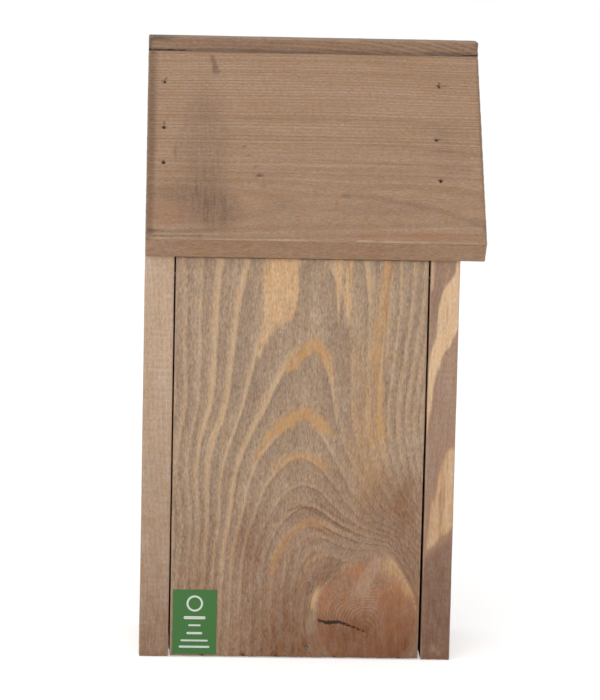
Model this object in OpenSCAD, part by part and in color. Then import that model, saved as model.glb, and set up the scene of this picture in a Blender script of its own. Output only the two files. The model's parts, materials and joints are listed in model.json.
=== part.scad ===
// Nest box for a small climbing bird, nailed together from planed softwood boards.
// Origin: middle of the box's underside. X to the right, Y to the back, Z up, millimetres.
// The front panel swings out on two nails near its top. The entrance is a notch at the rear
// of the right wall, under the wider side of the roof, so the front has no hole.

/* [Box] */
// Thickness of every board
board_t = 16.5; // [14:0.5:20]
// Clear width between the side walls
chamber_w = 141; // [110:1:200]
// Depth of the side walls, front edge to rear edge
body_d = 82; // [76:1:140]
// Height of the side walls at their front edges
front_h = 227.5; // [210:0.5:300]

/* [Roof] */
// Slope of the roof in degrees
roof_pitch = 45; // [35:1:50]
// Reach of the roof's underside past the front edges of the walls
eave = 2; // [0:0.5:15]
// Reach of the roof past the left wall
roof_over_left = 0; // [0:0.2:30]
// Reach of the roof past the right wall, over the entrance
roof_over_right = 13.4; // [0:0.2:40]

/* [Rear batten] */
// Height of the batten across the back
batten_h = 70; // [62:1:90]
// Rise of the batten above the roof's rear edge
batten_rise = 7.6; // [2:0.2:12]

/* [Front panel] */
// Gap between the panel and the left wall
gap_left = 0.6; // [0.4:0.1:2]
// Gap between the panel and the right wall
gap_right = 0.8; // [0.4:0.1:2]
// Gap under the panel's foot
gap_foot = 0.4; // [0.3:0.1:3]
// Gap between the panel's top front edge and the roof, measured upright
gap_top = 1.5; // [1:0.1:6]
// Gap between the closed panel and the floor's front edge
gap_floor = 0.5; // [0.4:0.1:2]

/* [Entrance] */
// Clear depth of the entrance in front of the back board
entrance_d = 30; // [22:1:34]
// Height of the entrance
entrance_h = 50; // [30:1:60]
// Distance from the batten's underside down to the entrance
entrance_drop = 25.5; // [22:0.5:40]
// Radius of the entrance's front corners
entrance_r = 8; // [2:0.5:12]

/* [Pivot] */
// Diameter of the two pivot nails
pivot_d = 3; // [2.4:0.1:4]
// Length of the pivot nails
pivot_len = 45; // [36:1:60]
// Distance of the pivot below the top of the walls' front edges
pivot_drop = 12.5; // [10:0.5:16]
// Running clearance around a pivot nail in the panel, on the radius
pivot_play = 0.05; // [0.02:0.01:0.1]

/* [Catch] */
// Diameter of the brad that holds the panel's foot to the floor
catch_d = 1.2; // [1:0.1:2]
// Height of the brad above the underside
catch_z = 6.1; // [4:0.1:10]
// Distance of the brad to the right of the middle
catch_x = 6.5; // [-30:0.5:30]
// Length of brad that enters the floor
catch_reach = 3.5; // [2:0.5:5]
// Clearance around the brad in the floor, on the radius
catch_play = 0.35; // [0.35:0.05:0.8]

/* [Nails] */
// Shank diameter of the nails
nail_d = 1.6; // [1.2:0.1:2.2]
// Head diameter of the nails
nail_head_d = 2.4; // [2.4:0.1:3.6]
// Length of the nails
nail_len = 38; // [30:1:40]
// Length of the nails through the batten, which end below the roof
batten_nail_len = 30; // [26:1:32]
// Clearance around a nail in its hole, on the radius
nail_fit = 0.02; // [0.01:0.01:0.05]
// Distance of the rear roof nails from the roof's rear edge, along the slope
roof_nail_rear = 23; // [16:1:30]
// Distance of the front roof nail in the left wall from the roof's front edge, along the slope
roof_nail_front_left = 54; // [40:1:70]
// Distance of the front roof nail in the right wall from the roof's front edge, along the slope
roof_nail_front_right = 44; // [40:1:70]

/* [Drain and screw holes] */
// Diameter of the drain holes in the floor
drain_d = 6; // [4:0.5:9]
// Diameter of the screw holes in the back board
screw_d = 5; // [4:0.5:7]
// Height of the lower screw hole
screw_z = 45; // [30:1:60]
// Distance between the two screw holes
screw_gap = 140; // [80:5:150]

/* [Label] */
// Width of the blank label
label_w = 24.5; // [10:0.5:40]
// Height of the blank label
label_h = 36.6; // [10:0.2:60]
// Thickness of the label
label_t = 0.2; // [0.1:0.05:0.5]
// Distance of the label from the panel's left edge and foot
label_inset = 1.5; // [0:0.1:10]

/* [Hidden] */
$fn = 48;

LEFT = -1;
RIGHT = 1;
// Overlap that a cut takes past a face
cut = 1;

// Places across the width
wall_in = chamber_w / 2;
wall_out = wall_in + board_t;
panel_left = -wall_in + gap_left;
panel_right = wall_in - gap_right;

// Places through the depth
front_y = -body_d / 2;
back_y = body_d / 2;
panel_back_y = front_y + board_t;
board_front_y = back_y - board_t;
floor_front_y = panel_back_y + gap_floor;

// Heights, with the roof's slope worked out at any depth
roof_rise = tan(roof_pitch);
roof_plumb_t = board_t / cos(roof_pitch);
function under_roof(y) = front_h + (y - front_y) * roof_rise;
function roof_top(y) = under_roof(y) + roof_plumb_t;
batten_top = roof_top(back_y) + batten_rise;
batten_z = batten_top - batten_h;
entrance_top = batten_z - entrance_drop;
entrance_z = entrance_top - entrance_h;
panel_top = front_h - gap_top;
pivot_y = front_y + board_t / 2;
pivot_z = front_h - pivot_drop;
roof_front_y = front_y - eave - board_t * sin(roof_pitch);

// Nails: a head, a shank and a point of this length
head_t = 1;
point_len = 2.5;
// How far a head is punched below the wood
head_sink = 0.3;
// Spare depth of a nail hole past the point
hole_spare = 0.3;
pivot_head_d = 5;
catch_head_d = 1.8;
catch_spare = 1;
// Inward shift of the roof nails from the middle of a wall's edge
roof_nail_in_left = 1.3;
roof_nail_in_right = 2.7;
// Drift of the roof nails in the right wall, driven by eye, rear to front
roof_nail_drift = [1.2, -1.3, 0.1];
// Outward shift of the batten nails, which keeps them clear of the roof nails
batten_nail_out = 3;
back_nail_low = 40;
floor_nail_in = 12;
// Share of the way from the rear roof nail to the front one at which the middle one sits
roof_nail_mid = 0.57;

function wall_mid(side) = side * (wall_in + board_t / 2);

// Depth at which a roof nail enters, from its distance down the slope
function roof_nail_y(side, i) =
  let(
    rear_y = back_y - roof_nail_rear * cos(roof_pitch),
    front_in = side == LEFT ? roof_nail_front_left : roof_nail_front_right,
    fore_y = roof_front_y + front_in * cos(roof_pitch)
  )
  rear_y + (fore_y - rear_y) * [0, roof_nail_mid, 1][i];

function roof_nail_x(side, i) =
  side == LEFT ? wall_mid(LEFT) + roof_nail_in_left
               : wall_mid(RIGHT) - roof_nail_in_right + roof_nail_drift[i];

back_nail_heights = [
  back_nail_low,
  (back_nail_low + entrance_z) / 2,
  batten_z - entrance_drop / 2
];
floor_nail_depths = [floor_front_y + floor_nail_in, board_front_y - floor_nail_in];
// The batten nails share the height between the batten's underside and the roof at their points
batten_nail_y = back_y + board_t - head_sink;
batten_nail_room = under_roof(batten_nail_y - batten_nail_len) - batten_z;
batten_nail_heights = [batten_z + batten_nail_room / 4, batten_z + batten_nail_room * 3 / 4];

// A nail hanging down from its head, whose top is at the origin
module nail(d = nail_d, head_d = nail_head_d, len = nail_len) {
  translate([0, 0, -head_t]) cylinder(d = head_d, h = head_t);
  translate([0, 0, -len + point_len]) cylinder(d = d, h = len - point_len - head_t);
  translate([0, 0, -len]) cylinder(d1 = 0.2, d2 = d, h = point_len);
}

// The room a nail takes in the wood, open above the head
module nail_room(d = nail_d, head_d = nail_head_d, len = nail_len, play = nail_fit, above = 2) {
  translate([0, 0, -head_t]) cylinder(d = head_d + 2 * nail_fit, h = head_t + above);
  translate([0, 0, -len - hole_spare]) cylinder(d = d + 2 * play, h = len + hole_spare);
}

// Turns a nail so that it is driven inwards through the outer face of a wall
module driven_from(side) {
  rotate([0, side * 90, 0]) children();
}

module at_roof_nails(side) {
  sink = nail_head_d / 2 * roof_rise + head_sink;
  for (i = [0 : 2]) {
    y = roof_nail_y(side, i);
    translate([roof_nail_x(side, i), y, roof_top(y) - sink]) children();
  }
}

module at_back_nails(side) {
  for (z = back_nail_heights)
    translate([side * (wall_out - head_sink), back_y - board_t / 2, z])
      driven_from(side) children();
}

module at_floor_nails(side) {
  for (y = floor_nail_depths)
    translate([side * (wall_out - head_sink), y, board_t / 2]) driven_from(side) children();
}

module at_batten_nails(side) {
  x = wall_mid(side) + side * batten_nail_out;
  for (z = batten_nail_heights)
    translate([x, batten_nail_y, z]) rotate([-90, 0, 0]) children();
}

module at_pivot_nail(side) {
  translate([side * (wall_out - head_sink), pivot_y, pivot_z]) driven_from(side) children();
}

// A board from x0 to x1 with the outline drawn in depth and height
module board_across(x0, x1, outline) {
  translate([x0, 0, 0])
    rotate([90, 0, 90])
      linear_extrude(x1 - x0) polygon(outline);
}

module roof_nail_rooms() {
  above = nail_head_d * roof_rise + cut;
  for (side = [LEFT, RIGHT]) at_roof_nails(side) nail_room(above = above);
}

module side_wall(side) {
  x0 = side == LEFT ? -wall_out : wall_in;
  outline = [
    [front_y, 0], [back_y, 0], [back_y, under_roof(back_y)], [front_y, under_roof(front_y)]
  ];
  difference() {
    board_across(x0, x0 + board_t, outline);
    at_roof_nails(side) nail_room();
    at_back_nails(side) nail_room();
    at_floor_nails(side) nail_room();
    at_batten_nails(side) nail_room(len = batten_nail_len);
    at_pivot_nail(side)
      nail_room(d = pivot_d, head_d = pivot_head_d, len = pivot_len, play = nail_fit);
  }
}

module left_wall() {
  color("burlywood") side_wall(LEFT);
}

// Outline of the entrance in depth and height, open at the wall's rear edge
module entrance_outline() {
  y0 = board_front_y - entrance_d;
  difference() {
    translate([y0, entrance_z]) square([back_y - y0 + cut, entrance_h]);
    for (up = [0, 1])
      translate([y0, up ? entrance_top : entrance_z]) mirror([0, up])
        difference() {
          translate([-cut, -cut]) square(entrance_r + cut);
          translate([entrance_r, entrance_r]) circle(r = entrance_r);
        }
  }
}

module right_wall() {
  color("rosybrown") difference() {
    side_wall(RIGHT);
    translate([wall_in - cut, 0, 0])
      rotate([90, 0, 90])
        linear_extrude(board_t + 2 * cut) entrance_outline();
  }
}

module back_board() {
  outline = [
    [board_front_y, 0], [back_y, 0], [back_y, under_roof(back_y)],
    [board_front_y, under_roof(board_front_y)]
  ];
  color("tan") difference() {
    board_across(-wall_in, wall_in, outline);
    for (side = [LEFT, RIGHT]) at_back_nails(side) nail_room();
    for (z = [screw_z, screw_z + screw_gap])
      translate([0, board_front_y - cut, z]) rotate([-90, 0, 0])
        cylinder(d = screw_d, h = board_t + 2 * cut);
  }
}

module floor_board() {
  floor_d = board_front_y - floor_front_y;
  mid_y = (board_front_y + floor_front_y) / 2;
  color("tan") difference() {
    translate([-wall_in, floor_front_y, 0]) cube([chamber_w, floor_d, board_t]);
    for (side = [LEFT, RIGHT]) at_floor_nails(side) nail_room();
    for (i = [-1, 1], j = [-1, 1])
      translate([i * chamber_w / 5, mid_y + j * floor_d / 5, -cut])
        cylinder(d = drain_d, h = board_t + 2 * cut);
    translate([catch_x, floor_front_y - cut, catch_z]) rotate([-90, 0, 0])
      cylinder(d = catch_d + 2 * catch_play, h = catch_reach + catch_spare + cut);
  }
}

// The front end is cut square and the rear end upright, against the batten
module roof_board() {
  outline = [
    [front_y - eave, under_roof(front_y - eave)],
    [back_y, under_roof(back_y)],
    [back_y, roof_top(back_y)],
    [roof_front_y, roof_top(roof_front_y)]
  ];
  color("peru") difference() {
    board_across(-wall_out - roof_over_left, wall_out + roof_over_right, outline);
    roof_nail_rooms();
  }
}

module rear_batten() {
  x0 = -wall_out - roof_over_left;
  x1 = wall_out + roof_over_right;
  color("sienna") difference() {
    translate([x0, back_y, batten_z]) cube([x1 - x0, board_t, batten_h]);
    for (side = [LEFT, RIGHT]) at_batten_nails(side) nail_room(len = batten_nail_len);
  }
}

module front_panel() {
  color("burlywood") difference() {
    translate([panel_left, front_y, gap_foot])
      cube([panel_right - panel_left, board_t, panel_top - gap_foot]);
    for (side = [LEFT, RIGHT])
      at_pivot_nail(side)
        nail_room(d = pivot_d, head_d = pivot_head_d, len = pivot_len, play = pivot_play);
    translate([catch_x, front_y + head_sink, catch_z]) rotate([90, 0, 0])
      nail_room(d = catch_d, head_d = catch_head_d, len = board_t + cut, play = nail_fit);
  }
}

module label() {
  color("seagreen")
    translate([panel_left + label_inset, front_y - label_t, gap_foot + label_inset])
      cube([label_w, label_t, label_h]);
}

module catch_brad() {
  color("silver")
    translate([catch_x, front_y + head_sink, catch_z]) rotate([90, 0, 0])
      nail(d = catch_d, head_d = catch_head_d,
           len = board_t + gap_floor + catch_reach - head_sink);
}

module pivot_nail(side) {
  color("silver")
    at_pivot_nail(side) nail(d = pivot_d, head_d = pivot_head_d, len = pivot_len);
}

module roof_nails(side) {
  color("dimgray") at_roof_nails(side) nail();
}

module back_nails(side) {
  color("silver") at_back_nails(side) nail();
}

module floor_nails(side) {
  color("silver") at_floor_nails(side) nail();
}

module batten_nails() {
  color("silver")
    for (side = [LEFT, RIGHT]) at_batten_nails(side) nail(len = batten_nail_len);
}

left_wall();
right_wall();
back_board();
floor_board();
roof_board();
rear_batten();
front_panel();
label();
catch_brad();
pivot_nail(LEFT);  // pivot_nail_left
pivot_nail(RIGHT);  // pivot_nail_right
roof_nails(LEFT);  // roof_nails_left
roof_nails(RIGHT);  // roof_nails_right
back_nails(LEFT);  // back_nails_left
back_nails(RIGHT);  // back_nails_right
floor_nails(LEFT);  // floor_nails_left
floor_nails(RIGHT);  // floor_nails_right
batten_nails();
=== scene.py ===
"""Looks of a small nest box of stained pine boards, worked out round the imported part.

Each board is one closed skin of quads, computed with numpy in board coordinates, in millimetres:
u runs along the grain, v across it and w through the thickness. Every point also carries the number
of the growth ring it lies in, so one wood material draws the same rings on faces, edges and ends.
"""
import json
from functools import partial

import bpy
import numpy as np
from mathutils import Matrix, Vector


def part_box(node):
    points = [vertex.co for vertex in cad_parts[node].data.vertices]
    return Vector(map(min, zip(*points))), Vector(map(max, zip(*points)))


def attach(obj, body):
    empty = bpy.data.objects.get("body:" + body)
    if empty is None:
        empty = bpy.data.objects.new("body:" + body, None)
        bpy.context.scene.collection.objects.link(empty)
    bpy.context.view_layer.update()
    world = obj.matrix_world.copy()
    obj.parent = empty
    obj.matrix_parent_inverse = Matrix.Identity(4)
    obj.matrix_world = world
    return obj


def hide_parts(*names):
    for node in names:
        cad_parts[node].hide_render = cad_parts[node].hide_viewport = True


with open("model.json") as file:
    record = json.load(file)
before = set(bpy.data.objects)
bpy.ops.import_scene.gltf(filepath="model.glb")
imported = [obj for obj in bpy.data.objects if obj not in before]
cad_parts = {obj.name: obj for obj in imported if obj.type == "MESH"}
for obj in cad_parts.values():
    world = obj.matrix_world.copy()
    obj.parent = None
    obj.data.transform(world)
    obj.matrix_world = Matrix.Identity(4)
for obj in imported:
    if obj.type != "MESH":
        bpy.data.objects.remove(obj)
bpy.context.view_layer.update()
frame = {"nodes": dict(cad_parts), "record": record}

MM = 0.001
X, Y, Z = 0, 1, 2
U, V, W = 0, 1, 2
LEFT, RIGHT = -1, 1

# The pocket over a driven nail: how far the head lies under the wood, the head's thickness, and the
# pocket's radius over a plain nail and over a pivot nail
HEAD_SINK = 0.3
HEAD_T = 1.0
POCKET_R = 1.25
PIVOT_POCKET_R = 2.55
# The torn wood has closed over the roof nails' heads and leaves a smaller hole, which leans with its nail
ROOF_POCKET_R = 0.9
ROOF_HEAD_DEPTH = 2.3
ROOF_LEAN_DEPTH = 4
# Round holes in the floor and the back, and the room round the panel's brad
DRAIN_R = 3
SCREW_R = 2.5
BRAD_ROOM = 0.05
# Grid: distance of the first full line from an edge, lines across a hole, the least distance between
# two lines, and the steps along u, v and w
EDGE_LINE = 1.0
HOLE_LINES = 7
LEAST_STEP = 0.15
GRID_STEPS = {
    "front_panel": (1.05, 1.0, 2.4), "left_wall": (1.25, 1.15, 1.1), "right_wall": (1.25, 1.15, 1.1),
    "back_board": (1.5, 1.45, 2.4), "floor_board": (1.2, 1.2, 2.4), "roof_board": (1.15, 1.1, 2.4),
    "rear_batten": (1.3, 1.1, 1.6),
}
# How far from their slanted ends the grids of the back board and the roof take up the slant
BACK_STRETCH = 60
ROOF_STRETCH = 40
# Rounds of wear that ease the edges, and the easing at which an edge is painted wholly pale: partly
# worn wood and partly a painted highlight along the edge
WEAR_ROUNDS = 2
FULL_WEAR_AND_HIGHLIGHT = 0.3
# Relief: how far early wood lies under late wood, half the waviness of a face, the distance over which
# the late wood falls off, and how far every point lies inside the solid
RING_RELIEF = 0.08
FACE_RELIEF = 0.05
LATE_FALL = 1.5
LEAST_SINK = 0.01
# Boards of unlike names take their noise from one of so many places, so far apart
PATTERNS = 23
PATTERN_STEP = 37.0
# What a point carries that lies near no crack and no knot, and the marks of a plain board
NO_CRACK = 50.0
NO_KNOT = 9.0
PLAIN_MARKS = {
    "band": 1, "edge": 0.3, "pale": 0, "dark": 0, "warm": 0, "scuff": 0, "knot": NO_KNOT, "crack": NO_CRACK,
}


# Places read from the frame

def box_mm(node):
    """Lowest and highest corner of a CAD node, in millimetres."""
    low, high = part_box(node)
    return np.array(low) / MM, np.array(high) / MM


def laid_out(node, order):
    """How a board lies: the corners of its CAD node, its size along u, v and w, which follow the
    frame's axes in the given order, and its place, which is the origin and directions of u, v and w."""
    low, high = box_mm(node)
    return low, high, (high - low)[order], (low, np.eye(3)[order])


def points_mm(node):
    """All points of a CAD node, in millimetres."""
    mesh = frame["nodes"][node].data
    flat = np.empty(len(mesh.vertices) * 3, np.float32)
    mesh.vertices.foreach_get("co", flat)
    return flat.reshape(-1, 3).astype(float) / MM


def parted(points, axis, gap=5):
    """Parts points into groups wherever, sorted along an axis, two neighbours lie over a gap apart."""
    points = points[np.argsort(points[:, axis])]
    return np.split(points, np.nonzero(np.diff(points[:, axis]) > gap)[0] + 1)


def nail_middles(node, *spread):
    """Middle of each nail in a node, parted along the axes on which its nails are spread."""
    groups = [points_mm(node)]
    for axis in spread:
        groups = [part for group in groups for part in parted(group, axis)]
    return [(group.min(0) + group.max(0)) / 2 for group in groups]


# Skins of boards

def grid_lines(length, step, fixed=()):
    """Places of the grid lines along one side: the fixed ones and both ends, with even steps between.
    An even line that would lie within half a step of a fixed one gives way to it."""
    fixed = [place for place in fixed if 0 < place < length]
    fixed = np.unique([0, EDGE_LINE, *fixed, length - EDGE_LINE, length])
    fixed = fixed[np.diff(fixed, prepend=-1) > LEAST_STEP]
    even = np.linspace(0, length, round(length / step) + 1)
    clear = np.abs(even[:, None] - fixed).min(1) > step / 2
    return np.sort(np.concatenate([fixed, even[clear]]))


def cut_box(keep, lines, low, high):
    """Takes out the cells whose middles lie inside a box."""
    middles = [(places[1:] + places[:-1]) / 2 for places in lines]
    inside = [(low[k] < middles[k]) & (middles[k] < high[k]) for k in (U, V, W)]
    keep[np.ix_(*inside)] = False


def skin(keep):
    """Skin of the kept cells: a quad wherever a kept cell meets an empty one, wound so that it faces
    the empty side. Returns the grid index of each point in use, and the quads."""
    shape = np.array(keep.shape) + 1
    quads = []
    for axis in (U, V, W):
        pad = [(1, 1) if k == axis else (0, 0) for k in (U, V, W)]
        change = np.diff(np.pad(keep, pad).astype(int), axis=axis)
        for sign, turn in ((-1, [(0, 0), (1, 0), (1, 1), (0, 1)]), (1, [(0, 0), (0, 1), (1, 1), (1, 0)])):
            cell = np.argwhere(change == sign)
            corners = []
            for a, b in turn:
                corner = cell.copy()
                corner[:, (axis + 1) % 3] += a
                corner[:, (axis + 2) % 3] += b
                corners.append(np.ravel_multi_index(corner.T, shape))
            quads.append(np.stack(corners, 1))
    used, quads = np.unique(np.concatenate(quads), return_inverse=True)
    return np.stack(np.unravel_index(used, shape), 1), quads.reshape(-1, 4)


def round_out(points, across, up, centre, radius, towards=None):
    """Turns the squares round a centre into circles. A point whose larger offset is m moves to the
    distance m from the centre, wholly up to the radius, then less and less out to twice the radius.
    With towards, only the quarter on that side turns."""
    offset = points[:, [across, up]] - centre
    square = np.abs(offset).max(1)
    share = np.clip(2 - square / radius, 0, 1)
    if towards is not None:
        share = share * (offset * towards >= 0).all(1)
    reach = np.maximum(np.hypot(*offset.T), 1e-9)
    points[:, [across, up]] += offset * (share * (square / reach - 1))[:, None]


def board(size, step, holes=(), notch=None, notch_radius=0):
    """Points and quads of a board with holes through or into its thickness. A hole is its place
    (u, v), its radius and the w between which it is cut. The notch is a box, its corners rounded
    on the side of low v."""
    fixed = [[], [], []]
    for u, v, radius, low, high in holes:
        fixed[U] += list(u + radius * np.linspace(-1, 1, HOLE_LINES))
        fixed[V] += list(v + radius * np.linspace(-1, 1, HOLE_LINES))
        fixed[W] += [low, high]
    if notch is not None:
        for axis in (U, V):
            fixed[axis] += [notch[0][axis], notch[1][axis]]
    lines = [grid_lines(size[k], step[k], fixed[k]) for k in (U, V, W)]
    keep = np.ones([len(places) - 1 for places in lines], bool)
    for u, v, radius, low, high in holes:
        cut_box(keep, lines, (u - radius, v - radius, low), (u + radius, v + radius, high))
    if notch is not None:
        cut_box(keep, lines, *notch)
    index, quads = skin(keep)
    points = np.stack([lines[k][index[:, k]] for k in (U, V, W)], 1)
    for u, v, radius, _, _ in holes:
        round_out(points, U, V, (u, v), radius)
    if notch is not None:
        (u0, v0, _), (u1, _, _) = notch
        for edge, side in ((u0, -1), (u1, 1)):
            centre = (edge - side * notch_radius, v0 + notch_radius)
            round_out(points, U, V, centre, notch_radius, towards=(side, -1))
    return points, quads


def stretch_end(points, axis, start, old_end, new_end):
    """Moves the end of a board: what lies from start to old_end along an axis is spread evenly from
    start to new_end."""
    place = points[:, axis]
    spread = start + (place - start) * (new_end - start) / (old_end - start)
    points[:, axis] = np.where(place > start, spread, place)


def ease(points, quads, rounds):
    """Wears every edge round: each round moves a point halfway to the mean of its neighbours, which
    leaves a flat face flat."""
    sides = np.stack([quads, np.roll(quads, -1, 1)], -1).reshape(-1, 2)
    a, b = np.unique(np.sort(sides, 1), axis=0).T
    count = np.bincount(np.concatenate([a, b]), minlength=len(points))[:, None]
    for _ in range(rounds):
        total = np.stack([
            np.bincount(a, points[b, k], len(points)) + np.bincount(b, points[a, k], len(points))
            for k in (0, 1, 2)
        ], 1)
        points = (points + total / count) / 2
    return points


def outward(points, quads):
    """Unit normal at each point: the sum of the area vectors of its quads, made one long."""
    a, b, c, d = (points[quads[:, k]] for k in range(4))
    area = np.cross(c - a, d - b)
    total = np.stack([
        np.bincount(quads.ravel(), np.repeat(area[:, k], 4), len(points)) for k in (0, 1, 2)
    ], 1)
    return total / np.maximum(np.linalg.norm(total, axis=1, keepdims=True), 1e-12)


# Fields in the wood

def sway(points, length, seed):
    """Smooth wandering from about -1 to 1: the mean of eight sine waves, whose seeded directions
    differ and whose wavelengths are near the given length along each axis."""
    rng = np.random.default_rng(seed)
    waves = rng.normal(size=(8, 3))
    waves *= 2 * np.pi / np.linalg.norm(waves, axis=1, keepdims=True)
    waves = waves / np.array(length) * rng.uniform(0.7, 1.4, (8, 1))
    return np.sin(points @ waves.T + rng.uniform(0, 2 * np.pi, 8)).mean(1) * 2


def step_up(value, start, end):
    """0 below start and 1 above end, with a smooth rise between."""
    t = np.clip((value - start) / (end - start), 0, 1)
    return t * t * (3 - 2 * t)


def step_down(value, start, end):
    """1 below start and 0 above end, with a smooth fall between."""
    return 1 - step_up(value, start, end)


def between(value, low, high, blur):
    """1 between low and high and 0 outside, with edges that blur over a width."""
    rise = step_up(value, low - blur / 2, low + blur / 2)
    return rise * step_down(value, high - blur / 2, high + blur / 2)


def patches(u, v, rows):
    """Sum of soft oval patches. A row gives a middle (u, v), the two half widths and a strength."""
    total = np.zeros(len(u))
    for middle_u, middle_v, half_u, half_v, strength in rows:
        away = ((u - middle_u) / half_u) ** 2 + ((v - middle_v) / half_v) ** 2
        total += strength * np.exp(-away ** 2)
    return np.clip(total, 0, 1)


def path_distance(u, v, path):
    """Distance of each point from a line through the points of a path."""
    place = np.stack([u, v], 1)[:, None]
    start, end = np.array(path[:-1], float), np.array(path[1:], float)
    along = end - start
    share = ((place - start) * along).sum(2) / (along ** 2).sum(1)
    nearest = start + np.clip(share, 0, 1)[..., None] * along
    return np.linalg.norm(place - nearest, axis=2).min(1)


def strokes(u, v, rows):
    """Sum of soft strokes. A row gives a half width, a strength and a path, and the stroke fades between
    a fifth and nine fifths of its half width."""
    total = np.zeros(len(u))
    for half, strength, path in rows:
        total += strength * step_down(path_distance(u, v, path), 0.2 * half, 1.8 * half)
    return total


def log_rings(pith, spacing, lean=(0, 0), seed=0, drift=2.5):
    """Ring numbers of a board cut from a log: the distance from the pith over the ring spacing.
    The pith runs along u at (v, w), leans away by lean for each millimetre, and wanders by drift."""
    def rings(p):
        from_v = p[:, V] - pith[0] - lean[0] * p[:, U] - drift * sway(p, (160, 400, 400), seed)
        from_w = p[:, W] - pith[1] - lean[1] * p[:, U]
        wander = 0.25 * sway(p, (90, 30, 30), seed + 1)
        return np.hypot(from_v, from_w) / spacing + wander
    return rings


def ring_gap(rings, p, normal):
    """Millimetres between rings as they show on the surface: one over the part of the ring number's
    slope that lies in the surface. The slope is taken over a quarter of a millimetre each way."""
    reach = 0.25
    slope = np.stack([
        (rings(p + reach * axis) - rings(p - reach * axis)) / (2 * reach) for axis in np.eye(3)
    ], 1)
    slope -= normal * (slope * normal).sum(1, keepdims=True)
    return np.clip(1 / np.maximum(np.linalg.norm(slope, axis=1), 1e-4), 0.5, 60)


# Pieces

def finish_piece(name, points, quads, material, body):
    """Makes the object from points in millimetres, smooth shaded, and lets it ride on its body."""
    mesh = bpy.data.meshes.new(name)
    mesh.vertices.add(len(points))
    mesh.vertices.foreach_set("co", (points * MM).astype(np.float32).ravel())
    mesh.loops.add(quads.size)
    mesh.loops.foreach_set("vertex_index", quads.astype(np.int32).ravel())
    mesh.polygons.add(len(quads))
    mesh.polygons.foreach_set("loop_start", np.arange(0, quads.size, quads.shape[1], dtype=np.int32))
    mesh.polygons.foreach_set("use_smooth", np.ones(len(quads), bool))
    mesh.update(calc_edges=True)
    mesh.materials.append(material)
    made = bpy.data.objects.new(name, mesh)
    bpy.context.scene.collection.objects.link(made)
    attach(made, body)
    return made


def carry(mesh, name, values):
    """Stores one number, or one vector, for each point of a mesh."""
    kind, key = ("FLOAT", "value") if values.ndim == 1 else ("FLOAT_VECTOR", "vector")
    mesh.attributes.new(name, kind, "POINT").data.foreach_set(key, values.astype(np.float32).ravel())


def wooden(node, body, material, place, skin_of_board, rings, marks=None, rough_ends=0.35):
    """Turns a board's points and quads into a finished piece that stands for its CAD node. Rings is a
    function from board points to ring numbers, and marks one to the masks that this board has of its
    own. The faces are worn by ease, sunk where early wood shows, and the cut ends torn by rough_ends
    at most."""
    origin, axes = place
    points, quads = skin_of_board
    if np.linalg.det(axes) < 0:
        quads = quads[:, ::-1]
    sharp = origin + points @ axes
    eased = ease(sharp, quads, WEAR_ROUNDS)
    normal = outward(eased, quads)
    # How far an edge was eased: the wood paints it pale, partly as worn wood and partly as a painted
    # highlight along the edge
    wear_and_highlight = np.clip(-((eased - sharp) * normal).sum(1) / FULL_WEAR_AND_HIGHLIGHT, 0, 1)
    p, flat_normal = (eased - origin) @ axes.T, normal @ axes.T
    ring = rings(p)
    gap = ring_gap(rings, p, flat_normal)
    late = np.exp(-np.mod(ring, 1) * gap / LATE_FALL)
    seed = sum(map(ord, node))
    sunk = RING_RELIEF * (1 - late) + FACE_RELIEF * (1 + sway(p, (40, 25, 25), seed))
    end = step_up(np.abs(flat_normal[:, U]), 0.4, 0.9)
    sunk += rough_ends * end * np.clip(0.4 + 0.8 * sway(p, (3, 3, 6), seed + 1), 0, 1)
    eased -= normal * np.maximum(sunk, LEAST_SINK)[:, None]
    made = finish_piece(node + "_wood", eased, quads, material, body)
    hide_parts(node)
    carried = {"fibre": p, "ring": ring, "ring_gap": gap, "wear_and_highlight": wear_and_highlight}
    carried.update({key: np.full(len(p), value) for key, value in PLAIN_MARKS.items()})
    if marks:
        carried.update(marks(p))
    carried["fibre"] = carried["fibre"] + PATTERN_STEP * (seed % PATTERNS)
    for key, values in carried.items():
        carry(made.data, key, values)


# Materials

# Settings that many nodes share
TIMES = {"operation": "MULTIPLY"}
PLUS = {"operation": "ADD"}
TIMES_PLUS = {"operation": "MULTIPLY_ADD"}
LARGER = {"operation": "MAXIMUM"}
SMOOTH = {"interpolation_type": "SMOOTHSTEP"}
OVER = {"data_type": "RGBA", "output": 2}

# Noises in the wood: length along the grain and width across it in millimetres, detail and roughness.
# Pine's fibres are 3 mm long and 0.03 mm wide, drawn about 1 mm wide so that they show
PINE_NOISES = {
    "fibres": (12, 1.2, 4, 0.6), "dashes": (3.4, 0.8, 2, 0.55), "pores": (2.0, 0.85, 1, 0.55),
    "streaks": (45, 2.4, 2, 0.55), "cloud": (60, 14, 3, 0.55), "mottle": (9, 3.5, 2, 0.55),
    "across": (1.0, 13, 3, 0.55), "wide": (60, 16, 2, 0.55), "blotch": (16, 12, 3, 0.55),
    "hue": (5, 1.6, 2, 0.55),
}
# Colours of scuffed, knotty and cracked wood, of pale edges that are partly worn wood and partly a
# painted highlight, and of oxide, and the number of rings in a knot
SCUFFED = "775E4C"
KNOT_RED = "B07E5C"
KNOT_BROWN = "A57E62"
KNOT_DARK = "84604A"
KNOT_LINE = "C6A286"
KNOT_SCUFFED = "B8957D"
KNOT_RINGS = 18.0
CRACK = "261B15"
WORN_AND_HIGHLIT = "BFA48A"
OXIDE = "4A3D33"


def linear(code):
    """A hex colour as linear red, green, blue and alpha."""
    srgb = np.array([int(code[k:k + 2], 16) for k in (0, 2, 4)]) / 255
    value = np.where(srgb <= 0.04045, srgb / 12.92, ((srgb + 0.055) / 1.055) ** 2.4)
    return (*value, 1.0)


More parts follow.
